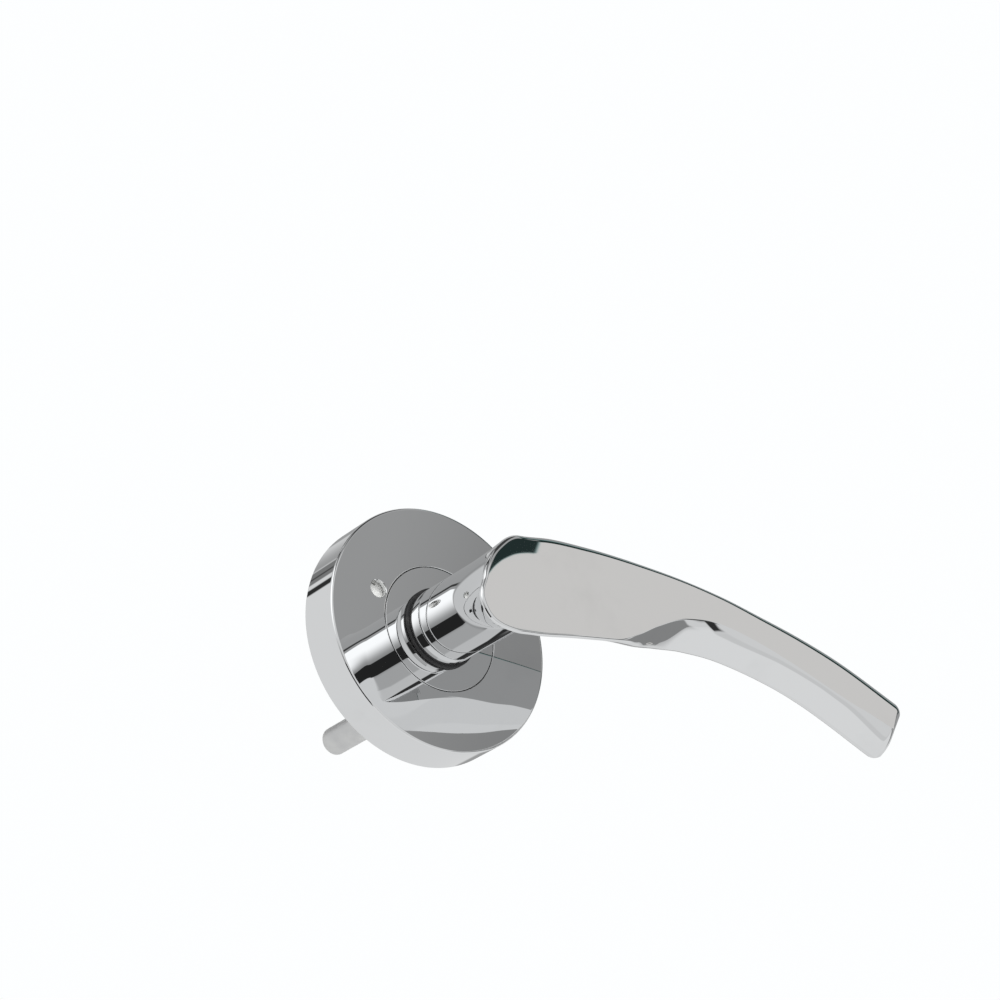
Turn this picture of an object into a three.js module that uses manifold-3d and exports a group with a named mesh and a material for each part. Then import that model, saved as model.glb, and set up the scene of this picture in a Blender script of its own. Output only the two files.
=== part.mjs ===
// Door lever handle on a round rose: lever, spring cassette, base and cover, right-hand lever.
// Millimetres. +X runs along the lever to its tip, +Z is up, and the handle faces -Y.
// The origin is the spindle axis on the door face, which is the back of the rose.
import * as THREE from 'three';
import { mergeVertices } from 'three/addons/utils/BufferGeometryUtils.js';
import Module from 'manifold-3d';

const wasm = await Module();
wasm.setup();

// ---------- driving dimensions ----------
const ROSE_RADIUS = 31.5;
const ROSE_DEPTH = 11;
const COVER_WALL = 1.2;
const COVER_EDGE_RADIUS = 0.6;
const OPENING_RADIUS = 16.1;
const ACCESS_HOLE_RADIUS = 2.25;
const ACCESS_HOLE_OFFSET = OPENING_RADIUS + 2.8;

const BASE_FLOOR = 1.2;
const CLIP_POCKET_DEPTH = 2.4;

const POST_RADIUS = 3.5;
const POST_REACH = 26;
const POST_CENTRES = 38;
const POST_HEAD_RADIUS = 4.3;
const POST_HEAD_DEPTH = 2;
const POST_SEAT = 2.6;
const POST_THREAD_RADIUS = 2;
const POST_THREAD_DEPTH = 16;

const JOURNAL_RADIUS = 8;
const JOURNAL_FLAT = JOURNAL_RADIUS - 1.1;
const NECK_RADIUS = JOURNAL_RADIUS + 1.6;
const COLLAR_HEIGHT = 3.4;
const NECK_RING_RADIUS = NECK_RADIUS + 0.7;
const NECK_RING_HEIGHT = 0.7;
const LEVER_FRONT = 45;
const LEVER_THICKNESS = 8.4;
const TIP_CORNER = 3;

const SPINDLE_SIZE = 8;
const SPINDLE_REACH = 20;
const SPINDLE_END_WALL = 2.6;
const GRUB_RADIUS = 2.5;
const GRUB_LENGTH = 5;
const GRUB_SOCKET_RADIUS = 1.4;
const GRUB_SOCKET_DEPTH = 2.4;

const THRUST_WASHER = 0.6;
const THRUST_WASHER_RADIUS = JOURNAL_RADIUS + 3.5;
const LID_THICKNESS = 0.7;
const DRIVE_PLATE = 0.7;
const BUSH_WALL = 1.2;
const WIRE_RADIUS = 0.6;
const SPRING_TURNS = 1.7;
const SPRING_LEG = 6.5;
const PIN_RADIUS = 0.75;
const PIN_LENGTH = 3.2;
const PIN_SEAT_WALL = 0.3;
const FINGER_HALF_ANGLE = 6;
const LEVER_TRAVEL = 50;
const CIRCLIP = 0.7;
const CIRCLIP_GROOVE_RADIUS = JOURNAL_RADIUS - 0.8;
const CIRCLIP_RADIUS = JOURNAL_RADIUS + 2.4;
const CLIP_POCKET_RADIUS = JOURNAL_RADIUS + 4;
const SNAP_WIRE = 0.4;
const SNAP_RING_PLACE = -5;
const CATCH_LENGTH = 11;
const CATCH_WIDTH = 6;
const CATCH_THICKNESS = 1.5;
const LID_SCREW_ANGLES = [30, 210];
const LID_SCREW_SHANK = 1;
const LID_SCREW_HEAD = 2;
const LID_SCREW_END = -4.6;
const LID_EAR_RADIUS = 3.2;
const RIB_SPACING = 45;
const RIB_HALF_WIDTH = 2;
const POCKET_DEPTH = 3.6;

// ---------- clearances ----------
const RUNNING_FIT = 0.2;
const SEAT_FIT = 0.1;
const AXIAL_GAP = 0.12;
const COVER_FIT = 0.5;
const SPRING_GAP = 1.4;
const NECK_GAP = 0.3;
const CATCH_GAP = 0.6;

// ---------- places along the spindle axis, worked out from the front of the rose ----------
const FRONT = -ROSE_DEPTH;
const COVER_INSIDE = FRONT + COVER_WALL;
const WASHER_FRONT = COVER_INSIDE + AXIAL_GAP;
const WASHER_BACK = WASHER_FRONT + THRUST_WASHER;
const LID_FRONT = WASHER_BACK + AXIAL_GAP;
const LID_BACK = LID_FRONT + LID_THICKNESS;
const PLATE_FRONT = LID_BACK + AXIAL_GAP;
const PLATE_BACK = PLATE_FRONT + DRIVE_PLATE;
const FLOOR_BACK = -CLIP_POCKET_DEPTH;
const FLOOR_FRONT = FLOOR_BACK - BASE_FLOOR;
const CIRCLIP_FRONT = FLOOR_BACK + 0.75;
const CIRCLIP_BACK = CIRCLIP_FRONT + CIRCLIP;
const JOURNAL_END = -0.2;
const NECK_RING_BACK = FRONT - AXIAL_GAP;
const NECK_RING_FRONT = NECK_RING_BACK - NECK_RING_HEIGHT;
const COLLAR_BACK = NECK_RING_FRONT - AXIAL_GAP;
const COLLAR_FRONT = COLLAR_BACK - COLLAR_HEIGHT;
const NECK_BACK = COLLAR_FRONT - NECK_GAP;
const LEVER_BACK = -LEVER_FRONT + LEVER_THICKNESS;
const BORE_END = -LEVER_FRONT + SPINDLE_END_WALL;

// ---------- radii that follow from the journal outwards ----------
const BUSH_INNER = JOURNAL_RADIUS + RUNNING_FIT;
const BUSH_OUTER = BUSH_INNER + BUSH_WALL;
const SPRING_RADIUS = BUSH_OUTER + SPRING_GAP + WIRE_RADIUS;
const PIN_CIRCLE = SPRING_RADIUS + WIRE_RADIUS + PIN_RADIUS + 0.25;
const CAVITY_RADIUS = PIN_CIRCLE + PIN_RADIUS + 0.25;
const LID_RADIUS = CAVITY_RADIUS + 1.4;
const LID_SCREW_OFFSET = LID_RADIUS + 2.2;
const BASE_RADIUS = ROSE_RADIUS - COVER_WALL - COVER_FIT;
const SNAP_RING_RADIUS = BASE_RADIUS - SNAP_WIRE + 0.25;
const POCKET_INNER = LID_SCREW_OFFSET + 3.6;
const POCKET_OUTER = BASE_RADIUS - 1.6;
const CATCH_CENTRE = LID_RADIUS + CATCH_GAP + CATCH_LENGTH / 2;
const CATCH_FRONT = COVER_INSIDE + 0.7;
const PIN_FRONT = FLOOR_FRONT - PIN_LENGTH;
const PIN_BACK = FLOOR_BACK - PIN_SEAT_WALL;

// ---------- angles round the spindle axis ----------
const FINGER_ANGLE = 90 + LEVER_TRAVEL / 2;
const STOP_STEP = FINGER_HALF_ANGLE + degrees((PIN_RADIUS + SEAT_FIT) / PIN_CIRCLE);
const SPRING_TIP_ANGLE = FINGER_ANGLE - FINGER_HALF_ANGLE - degrees((WIRE_RADIUS + SEAT_FIT) / PIN_CIRCLE);
const LEG_ANGLE = degrees(Math.atan2(SPRING_LEG, SPRING_RADIUS));
const COIL_START = SPRING_TIP_ANGLE - LEG_ANGLE;
const COIL_END = COIL_START - 360 * SPRING_TURNS;
const ANCHOR_ANGLE = COIL_END - LEG_ANGLE - degrees((PIN_RADIUS + WIRE_RADIUS + SEAT_FIT) / PIN_CIRCLE);
const STOP_PINS = [
  { name: 'stop_pin_rest', angle: FINGER_ANGLE + STOP_STEP },
  { name: 'stop_pin_pressed', angle: FINGER_ANGLE - LEVER_TRAVEL - STOP_STEP },
  { name: 'spring_anchor_pin', angle: ANCHOR_ANGLE },
];

// ---------- materials ----------
const CHROME = { color: 0xc8cbd0, roughness: 0.06, metalness: 1 };
const ZINC = { color: 0xb9bcc0, roughness: 0.35, metalness: 1 };
const STEEL = { color: 0x8f9296, roughness: 0.3, metalness: 1 };
const BLACK_STEEL = { color: 0x2c2d30, roughness: 0.45, metalness: 0.9 };
const NYLON = { color: 0xeeede8, roughness: 0.55, metalness: 0 };
const BLACK_NYLON = { color: 0x1c1d1f, roughness: 0.5, metalness: 0 };

const group = new THREE.Group();

function degrees(radians) {
  return THREE.MathUtils.radToDeg(radians);
}

function radians(angle) {
  return THREE.MathUtils.degToRad(angle);
}

// A point on a circle round the spindle axis, seen from the front: 0 is +X and 90 is +Z.
function around(radius, angle) {
  return [radius * Math.cos(radians(angle)), radius * Math.sin(radians(angle))];
}

// ---------- solids ----------
function solid(geometry) {
  const bare = geometry.clone();
  bare.deleteAttribute('normal');
  bare.deleteAttribute('uv');
  const merged = mergeVertices(bare, 1e-4);
  const positions = merged.getAttribute('position');
  const index = Array.from(merged.getIndex().array);
  const corners = [];
  let volume = 0;
  const a = new THREE.Vector3();
  const b = new THREE.Vector3();
  const c = new THREE.Vector3();
  for (let i = 0; i < index.length; i += 3) {
    const [p, q, r] = index.slice(i, i + 3);
    if (p === q || q === r || r === p) continue;
    corners.push([p, q, r]);
    a.fromBufferAttribute(positions, p);
    b.fromBufferAttribute(positions, q);
    c.fromBufferAttribute(positions, r);
    volume += a.dot(b.cross(c));
  }
  const outward = volume > 0 ? corners : corners.map(([p, q, r]) => [p, r, q]);
  return new wasm.Manifold(new wasm.Mesh({
    numProp: 3,
    vertProperties: new Float32Array(positions.array),
    triVerts: new Uint32Array(outward.flat()),
  }));
}

function lathe(profile, segments = 48) {
  const points = profile.map(([radius, y]) => new THREE.Vector2(radius, y));
  return solid(new THREE.LatheGeometry(points, segments));
}

// A ring between two radii and two places on the axis; an inner radius of 0 makes a disc.
function ring(inner, outer, yFront, yBack, segments = 48) {
  const section = [[inner, yFront], [outer, yFront], [outer, yBack], [inner, yBack]];
  return lathe(inner === 0 ? section : [...section, section[0]], segments);
}

function rodAt(radius, x, z, yFront, yBack, segments = 20) {
  return ring(0, radius, yFront, yBack, segments).translate([x, 0, z]);
}

function block(width, height, yFront, yBack, x = 0, z = 0) {
  const geometry = new THREE.BoxGeometry(width, yBack - yFront, height);
  geometry.translate(x, (yFront + yBack) / 2, z);
  return solid(geometry);
}

// A flat plate with the given outline in X and Z.
function plate(shape, yFront, yBack, curveSegments = 16) {
  const geometry = new THREE.ExtrudeGeometry(shape, {
    depth: yBack - yFront,
    bevelEnabled: false,
    curveSegments,
  });
  geometry.rotateX(Math.PI / 2);
  geometry.translate(0, yBack, 0);
  return solid(geometry);
}

// A sector of a ring, between two angles.
function sector(inner, outer, fromAngle, toAngle, yFront, yBack, curveSegments = 8) {
  const shape = new THREE.Shape();
  shape.absarc(0, 0, outer, radians(fromAngle), radians(toAngle), false);
  shape.absarc(0, 0, inner, radians(toAngle), radians(fromAngle), true);
  return plate(shape, yFront, yBack, curveSegments);
}

function add(name, manifold, finish) {
  const { numProp, vertProperties, triVerts } = manifold.getMesh();
  const positions = new Float32Array((vertProperties.length / numProp) * 3);
  for (let i = 0; i < positions.length / 3; i += 1) {
    positions.set(vertProperties.subarray(i * numProp, i * numProp + 3), i * 3);
  }
  const geometry = new THREE.BufferGeometry();
  geometry.setAttribute('position', new THREE.BufferAttribute(positions, 3));
  geometry.setIndex(new THREE.BufferAttribute(new Uint32Array(triVerts), 1));
  const mesh = new THREE.Mesh(geometry, new THREE.MeshStandardMaterial({ ...finish, flatShading: true }));
  mesh.name = name;
  group.add(mesh);
}

// ---------- rose: cover, base, posts ----------
function roseCover() {
  const e = COVER_EDGE_RADIUS;
  const edge = [0, 30, 60, 90].map((angle) => [
    ROSE_RADIUS - e + e * Math.sin(radians(angle)),
    FRONT + e - e * Math.cos(radians(angle)),
  ]);
  const inside = ROSE_RADIUS - COVER_WALL;
  const profile = [
    [OPENING_RADIUS, FRONT],
    ...edge,
    [ROSE_RADIUS, 0],
    [inside, 0],
    [inside, COVER_INSIDE],
    [OPENING_RADIUS, COVER_INSIDE],
    [OPENING_RADIUS, FRONT],
  ];
  const hole = rodAt(ACCESS_HOLE_RADIUS, -ACCESS_HOLE_OFFSET, 0, FRONT - 1, COVER_INSIDE + 1, 24);
  return lathe(profile, 80).subtract(hole);
}

function lidOutline(grow) {
  let outline = ring(0, LID_RADIUS + grow, LID_FRONT, LID_BACK + grow, 60);
  for (const angle of LID_SCREW_ANGLES) {
    const [x, z] = around(LID_SCREW_OFFSET, angle);
    outline = outline.add(rodAt(LID_EAR_RADIUS + grow, x, z, LID_FRONT, LID_BACK + grow, 24));
  }
  return outline;
}

function roseBase() {
  let base = ring(0, BASE_RADIUS, LID_FRONT, 0, 72);
  base = base.subtract(ring(0, CAVITY_RADIUS, LID_FRONT - 1, FLOOR_FRONT, 60));
  base = base.subtract(ring(0, CLIP_POCKET_RADIUS, FLOOR_BACK, 1));
  base = base.subtract(ring(0, BUSH_OUTER + SEAT_FIT, FLOOR_FRONT - 1, FLOOR_BACK + 1));
  base = base.subtract(lidOutline(SEAT_FIT).translate([0, -SEAT_FIT, 0]));
  base = base.subtract(lidOutline(SEAT_FIT));
  const groove = SNAP_WIRE + 0.1;
  base = base.subtract(ring(
    SNAP_RING_RADIUS - groove, BASE_RADIUS + 1, SNAP_RING_PLACE - groove, SNAP_RING_PLACE + groove, 72,
  ));
  for (const side of [1, -1]) {
    const z = side * POST_CENTRES / 2;
    base = base.subtract(rodAt(POST_HEAD_RADIUS + SEAT_FIT, 0, z, LID_FRONT - 1, -POST_SEAT, 32));
    base = base.subtract(rodAt(POST_RADIUS + SEAT_FIT, 0, z, -POST_SEAT - 1, 1, 28));
  }
  for (const angle of LID_SCREW_ANGLES) {
    const [x, z] = around(LID_SCREW_OFFSET, angle);
    base = base.subtract(rodAt(LID_SCREW_SHANK + SEAT_FIT, x, z, LID_FRONT - 1, LID_SCREW_END + 0.3, 16));
  }
  for (const pin of STOP_PINS) {
    const [x, z] = around(PIN_CIRCLE, pin.angle);
    base = base.subtract(rodAt(PIN_RADIUS + SEAT_FIT, x, z, FLOOR_FRONT - 1, PIN_BACK + 0.1, 16));
  }
  base = base.subtract(block(
    CATCH_LENGTH + SEAT_FIT * 2, CATCH_WIDTH + SEAT_FIT * 2, LID_FRONT - 1,
    CATCH_FRONT + CATCH_THICKNESS + SEAT_FIT, -CATCH_CENTRE, 0,
  ));
  // Moulding pockets in the back, between the ribs, clear of the posts.
  for (let angle = RIB_SPACING / 2; angle < 360; angle += RIB_SPACING) {
    const gap = degrees(RIB_HALF_WIDTH / POCKET_OUTER);
    const nearPost = Math.abs(Math.sin(radians(angle))) > Math.sin(radians(60));
    const inner = nearPost ? POST_CENTRES / 2 + POST_HEAD_RADIUS + 0.9 : POCKET_INNER;
    base = base.subtract(sector(
      inner, POCKET_OUTER, angle - RIB_SPACING / 2 + gap, angle + RIB_SPACING / 2 - gap,
      -POCKET_DEPTH, 1,
    ));
  }
  return base;
}

function fixingPost(side) {
  const profile = [
    [0, -POST_SEAT - POST_HEAD_DEPTH],
    [POST_HEAD_RADIUS, -POST_SEAT - POST_HEAD_DEPTH],
    [POST_HEAD_RADIUS, -POST_SEAT],
    [POST_RADIUS, -POST_SEAT],
    [POST_RADIUS, POST_REACH - 0.8],
    [POST_RADIUS - 0.25, POST_REACH - 0.25],
    [POST_RADIUS - 0.8, POST_REACH],
    [POST_THREAD_RADIUS, POST_REACH],
    [POST_THREAD_RADIUS, POST_REACH - POST_THREAD_DEPTH],
    [0, POST_REACH - POST_THREAD_DEPTH - 1],
  ];
  return lathe(profile, 28).translate([0, 0, side * POST_CENTRES / 2]);
}

// A split ring of round wire that holds the cover on the base.
function snapRing() {
  const wire = [];
  for (let step = 0; step <= 8; step += 1) {
    const angle = radians(step * 45);
    wire.push([
      SNAP_RING_RADIUS + SNAP_WIRE * Math.cos(angle),
      SNAP_RING_PLACE + SNAP_WIRE * Math.sin(angle),
    ]);
  }
  return lathe(wire, 72).subtract(block(8, 5, -9, -1, BASE_RADIUS, 0));
}

function releaseCatch() {
  const tongue = block(
    CATCH_LENGTH, CATCH_WIDTH, CATCH_FRONT, CATCH_FRONT + CATCH_THICKNESS, -CATCH_CENTRE, 0,
  );
  const slots = [1, -1].map((side) => block(
    CATCH_LENGTH - 3, 0.8, CATCH_FRONT - 1, CATCH_FRONT + CATCH_THICKNESS + 1,
    -CATCH_CENTRE - 1.6, side * (CATCH_WIDTH / 2 - 1.1),
  ));
  return tongue.subtract(slots[0]).subtract(slots[1]);
}

// ---------- spring cassette ----------
function cassetteLid() {
  let lid = lidOutline(0).subtract(ring(0, JOURNAL_RADIUS + 0.8, LID_FRONT - 1, LID_BACK + 1));
  for (const angle of LID_SCREW_ANGLES) {
    const [x, z] = around(LID_SCREW_OFFSET, angle);
    lid = lid.subtract(rodAt(LID_SCREW_HEAD + SEAT_FIT, x, z, LID_FRONT - 1, LID_BACK + 1, 20));
  }
  return lid;
}

function lidScrew(angle) {
  const [x, z] = around(LID_SCREW_OFFSET, angle);
  const profile = [
    [0, LID_FRONT],
    [LID_SCREW_HEAD, LID_FRONT],
    [LID_SCREW_HEAD, LID_FRONT + 0.2],
    [LID_SCREW_SHANK, LID_BACK],
    [LID_SCREW_SHANK, LID_SCREW_END - 0.6],
    [0, LID_SCREW_END],
  ];
  const screw = lathe(profile, 20).translate([x, 0, z]);
  const slot = block(LID_SCREW_HEAD * 1.3, 0.5, LID_FRONT - 1, LID_FRONT + 0.3, x, z);
  const crossSlot = block(0.5, LID_SCREW_HEAD * 1.3, LID_FRONT - 1, LID_FRONT + 0.3, x, z);
  return screw.subtract(slot).subtract(crossSlot);
}

function bearingBush() {
  return ring(BUSH_INNER, BUSH_OUTER, PLATE_BACK + 2 * AXIAL_GAP, FLOOR_BACK, 48);
}

// Torsion spring: a straight leg, a coil round the bush, and a straight leg at the back.
class SpringPath extends THREE.Curve {
  getPoint(t, target = new THREE.Vector3()) {
    const front = PLATE_BACK + 2 * AXIAL_GAP + WIRE_RADIUS;
    const back = FLOOR_FRONT - 2 * AXIAL_GAP - WIRE_RADIUS;
    const coil = radians(COIL_START - COIL_END) * SPRING_RADIUS;
    const along = t * (coil + 2 * SPRING_LEG);
    const onCoil = THREE.MathUtils.clamp(along - SPRING_LEG, 0, coil);
    const angle = COIL_START - degrees(onCoil / SPRING_RADIUS);
    const [x, z] = around(SPRING_RADIUS, angle);
    const [tx, tz] = around(1, angle - 90);
    const straight = along < SPRING_LEG ? along - SPRING_LEG : Math.max(0, along - SPRING_LEG - coil);
    return target.set(x + tx * straight, front + (back - front) * (onCoil / coil), z + tz * straight);
  }
}

function returnSpring() {
  const wire = new THREE.Shape();
  wire.absarc(0, 0, WIRE_RADIUS, 0, Math.PI * 2, false);
  return solid(new THREE.ExtrudeGeometry(wire, {
    steps: 66,
    curveSegments: 4,
    extrudePath: new SpringPath(),
  }));
}

function springPin(angle) {
  const [x, z] = around(PIN_CIRCLE, angle);
  return rodAt(PIN_RADIUS, x, z, PIN_FRONT, PIN_BACK, 14);
}

// ---------- lever body ----------
// The lever's middle line in X and Z, from the spindle axis to the tip.
const MIDDLE_LINE = new THREE.CatmullRomCurve3([
  [0, 0], [30, 13.8], [60, 24], [90, 28.4], [116.5, 28],
].map(([x, z]) => new THREE.Vector3(x, 0, z)), false, 'centripetal');

const LEVER_LENGTH = MIDDLE_LINE.getLength();

// Smooth value at a place, through a short list of [place, value] stops, with no overshoot.
function stops(list, place) {
  if (place <= list[0][0]) return list[0][1];
  const last = list.length - 1;
  if (place >= list[last][0]) return list[last][1];
  const rise = (i) => (list[i + 1][1] - list[i][1]) / (list[i + 1][0] - list[i][0]);
  const slope = (i) => {
    if (i === 0 || i === last) return 0;
    const [before, after] = [rise(i - 1), rise(i)];
    return before * after <= 0 ? 0 : (2 * before * after) / (before + after);
  };
  const next = list.findIndex(([stop]) => stop >= place);
  const i = next - 1;
  const span = list[next][0] - list[i][0];
  const t = (place - list[i][0]) / span;
  return list[i][1] * (1 + 2 * t) * (1 - t) ** 2 + list[next][1] * t * t * (3 - 2 * t)
    + span * t * (1 - t) * (slope(i) * (1 - t) - slope(next) * t);
}

// Half width of the lever above and below its middle line, by place along it.
const HALF_ABOVE = [
  [0, 11.1], [10, 11.9], [20, 11.3], [30, 10.4],
  [44, 9.2], [60, 7.9], [76, 7.1], [125, 7.4],
];
const HALF_BELOW = [
  [0, 14], [12, 13.2], [25, 12.4], [34, 11.6], [42, 10],
  [52, 8.2], [66, 7.2], [84, 7], [104, 7.7], [125, 8.1],
];
// How far the rounded edge of the front reaches in from the top and from the bottom.
const TOP_ROUND = [[0, 1.2], [10, 1.8], [30, 1.4], [50, 1.1], [80, 1.8], [125, 2.6]];
const BOTTOM_ROUND = 0.6;
// Where the flat front gives way to the lower facet, measured down from the middle line.
const FLAT_BELOW = [
  [0, 14], [20, 12.4], [27, 11.6], [33, 9.6], [40, 5.9],
  [50, 1.8], [60, 0.4], [80, 1.6], [100, 2.8], [121, 1.4],
];
// How far the lower edge of the facet lies behind the front.
const FACET_DROP = [[0, BOTTOM_ROUND], [25, BOTTOM_ROUND], [50, 4.8], [85, 5.4], [125, 5.4]];
// How far the flat back keeps in from the edges, which is most near the neck.
const BACK_INSET_ABOVE = [[0, 1.8], [12, 2.6], [30, 3], [60, 2.2], [125, 2]];
const BACK_INSET_BELOW = [[0, 4.7], [25, 7], [40, 5.6], [56, 2.6], [125, 2.2]];
// The sides curve in towards the neck up to this place, and bulge out beyond it.
const NECK_FLARE_END = 36;
// The edge of the flat front round the neck, by degrees turned from the lower side.
const PAD_RIM = [
  [0, 13.4], [20, 14.2], [45, 15.6], [63, 14.6],
  [83, 11.4], [115, 9.5], [140, 9.1], [180, 9.9],
];

// Distance from the middle line and depth behind the front, for each row of the lever's skin.
function skinRow(row, place, top) {
  const half = stops(top ? HALF_ABOVE : HALF_BELOW, place);
  const round = top ? stops(TOP_ROUND, place) : BOTTOM_ROUND;
  const drop = top ? round : stops(FACET_DROP, place);
  const flat = top ? half - round : Math.min(half - round, stops(FLAT_BELOW, place));
  const inset = stops(top ? BACK_INSET_ABOVE : BACK_INSET_BELOW, place);
  return sideProfile(row, flat, half, half - inset, drop, place, top);
}

// One row between the flat front's edge, the widest line and the flat back's edge.
function sideProfile(row, flat, half, back, drop, place, top) {
  const depth = LEVER_THICKNESS - drop;
  const bulge = THREE.MathUtils.smoothstep(place, 0, NECK_FLARE_END);
  const inward = (share) => THREE.MathUtils.lerp(half, back, share);
  const rows = [
    [flat, 0],
    [flat + (half - flat) * 0.55, drop * (top ? 0.14 : 0.4)],
    [flat + (half - flat) * 0.88, drop * (top ? 0.5 : 0.75)],
    [half, drop],
    [inward(THREE.MathUtils.lerp(0.66, 0.24, bulge)), drop + depth * 0.45],
    [inward(THREE.MathUtils.lerp(0.92, 0.6, bulge)), drop + depth * 0.82],
    [back, LEVER_THICKNESS],
  ];
  return rows[row];
}

const SKIN_ROWS = 7;
const SIDE_STEPS = 16;
const PAD_STEPS = 16;
const CORNER_STEPS = 3;
// How far each row keeps back from the end of the lever, which rounds its edges.
const END_INSET = [2.2, 1, 0.35, 0, 0, 0.6, 1.8];

function leverOutline(row) {
  const loop = [];
  const straightEnd = LEVER_LENGTH - TIP_CORNER;
  const sidePoint = (place, top) => {
    const t = place / LEVER_LENGTH;
    const centre = MIDDLE_LINE.getPointAt(t);
    const along = MIDDLE_LINE.getTangentAt(t);
    const [distance, depth] = skinRow(row, place, top);
    const side = top ? 1 : -1;
    return new THREE.Vector3(
      centre.x - along.z * distance * side, depth - LEVER_FRONT, centre.z + along.x * distance * side,
    );
  };
  for (let step = 1; step <= SIDE_STEPS; step += 1) {
    loop.push(sidePoint((straightEnd * step) / SIDE_STEPS, true));
  }
  const along = MIDDLE_LINE.getTangentAt(1);
  const up = new THREE.Vector3(-along.z, 0, along.x);
  const corner = TIP_CORNER - END_INSET[row];
  for (const top of [true, false]) {
    const side = top ? 1 : -1;
    const [distance, depth] = skinRow(row, straightEnd, top);
    const centre = MIDDLE_LINE.getPointAt(straightEnd / LEVER_LENGTH)
      .addScaledVector(up, side * (distance - corner));
    for (let step = 0; step <= CORNER_STEPS; step += 1) {
      const turn = (Math.PI / 2) * (top ? step / CORNER_STEPS : 1 - step / CORNER_STEPS);
      if (turn === 0) continue;
      const point = centre.clone()
        .addScaledVector(up, side * corner * Math.cos(turn))
        .addScaledVector(along, corner * Math.sin(turn));
      point.y = depth - LEVER_FRONT;
      loop.push(point);
    }
  }
  for (let step = SIDE_STEPS; step >= 1; step -= 1) {
    loop.push(sidePoint((straightEnd * step) / SIDE_STEPS, false));
  }
  const start = MIDDLE_LINE.getTangentAt(0);
  const startAngle = Math.atan2(start.z, start.x);
  for (let step = 0; step <= PAD_STEPS; step += 1) {
    const turn = (180 * step) / PAD_STEPS;
    const angle = startAngle - Math.PI / 2 - radians(turn);
    const share = turn / 180;
    const round = THREE.MathUtils.lerp(BOTTOM_ROUND, stops(TOP_ROUND, 0), share);
    const rim = stops(PAD_RIM, turn);
    const [distance, depth] = sideProfile(row, rim, rim + round, NECK_RADIUS - 0.3, round, 0, share > 0.5);
    loop.push(new THREE.Vector3(
      distance * Math.cos(angle), depth - LEVER_FRONT, distance * Math.sin(angle),
    ));
  }
  return loop;
}

// The lever's skin: rows of the same outline from the flat front to the flat back, closed by caps.
function leverSkin() {
  const loops = Array.from({ length: SKIN_ROWS }, (_, row) => leverOutline(row));
  const count = loops[0].length;
  const positions = loops.flat().flatMap((point) => [point.x, point.y, point.z]);
  const index = [];
  for (let row = 0; row + 1 < SKIN_ROWS; row += 1) {
    for (let step = 0; step < count; step += 1) {
      const next = (step + 1) % count;
      const [a, b] = [row * count + step, row * count + next];
      const [c, d] = [a + count, b + count];
      index.push(a, b, d, a, d, c);
    }
  }
  for (const [row, turned] of [[0, false], [SKIN_ROWS - 1, true]]) {
    const flat = loops[row].map((point) => new THREE.Vector2(point.x, point.z));
    for (const [a, b, c] of THREE.ShapeUtils.triangulateShape(flat, [])) {
      const corners = [a, b, c].map((corner) => row * count + corner);
      index.push(...(turned ? corners.reverse() : corners));
    }
  }
  const geometry = new THREE.BufferGeometry();
  geometry.setAttribute('position', new THREE.Float32BufferAttribute(positions, 3));
  geometry.setIndex(index);
  return solid(geometry);
}

const GRUB_PLACE = -LEVER_FRONT + LEVER_THICKNESS + GRUB_RADIUS + 0.8;
const GRUB_INNER = SPINDLE_SIZE / 2 + RUNNING_FIT;

// A round bar along X, through the wall of the neck on the side where the lever points.
function grubBore(radius, from, to, segments) {
  const geometry = new THREE.CylinderGeometry(radius, radius, to - from, segments);
  geometry.rotateZ(Math.PI / 2);
  geometry.translate((from + to) / 2, GRUB_PLACE, 0);
  return solid(geometry);
}

function lever() {
  const neck = lathe([
    [0, LEVER_BACK - 2],
    [NECK_RADIUS, LEVER_BACK - 2],
    [NECK_RADIUS, NECK_BACK - 0.3],
    [NECK_RADIUS - 0.3, NECK_BACK],
    [JOURNAL_RADIUS, NECK_BACK],
    [JOURNAL_RADIUS, JOURNAL_END - 0.3],
    [JOURNAL_RADIUS - 0.3, JOURNAL_END],
    [0, JOURNAL_END],
  ], 64);
  let body = leverSkin().add(neck);
  for (const side of [1, -1]) {
    body = body.subtract(block(
      4, 24, PLATE_FRONT - AXIAL_GAP, 1, side * (JOURNAL_FLAT + 2), 0,
    ));
  }
  body = body.subtract(ring(
    CIRCLIP_GROOVE_RADIUS, JOURNAL_RADIUS + 2, CIRCLIP_FRONT - SEAT_FIT, CIRCLIP_BACK + SEAT_FIT,
  ));
  const bore = SPINDLE_SIZE + 2 * SEAT_FIT;
  body = body.subtract(block(bore, bore, BORE_END, 1));
  return body.subtract(grubBore(GRUB_RADIUS + SEAT_FIT, 3, NECK_RADIUS + 6, 24));
}

function neckCollar() {
  const inner = JOURNAL_RADIUS + SEAT_FIT;
  return lathe([
    [inner, COLLAR_FRONT],
    [NECK_RADIUS - 0.3, COLLAR_FRONT],
    [NECK_RADIUS, COLLAR_FRONT + 0.3],
    [NECK_RADIUS, COLLAR_BACK - 0.2],
    [NECK_RADIUS - 0.2, COLLAR_BACK],
    [inner, COLLAR_BACK],
    [inner, COLLAR_FRONT],
  ], 64);
}

// The dark ring the collar stands on, which keeps its end off the disc.
function neckRing() {
  const inner = JOURNAL_RADIUS + SEAT_FIT;
  return lathe([
    [inner, NECK_RING_FRONT],
    [NECK_RING_RADIUS - 0.2, NECK_RING_FRONT],
    [NECK_RING_RADIUS, NECK_RING_FRONT + 0.2],
    [NECK_RING_RADIUS, NECK_RING_BACK],
    [inner, NECK_RING_BACK],
    [inner, NECK_RING_FRONT],
  ], 64);
}

function innerDisc() {
  return ring(JOURNAL_RADIUS + SEAT_FIT, OPENING_RADIUS - RUNNING_FIT, FRONT, COVER_INSIDE, 80);
}

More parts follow.
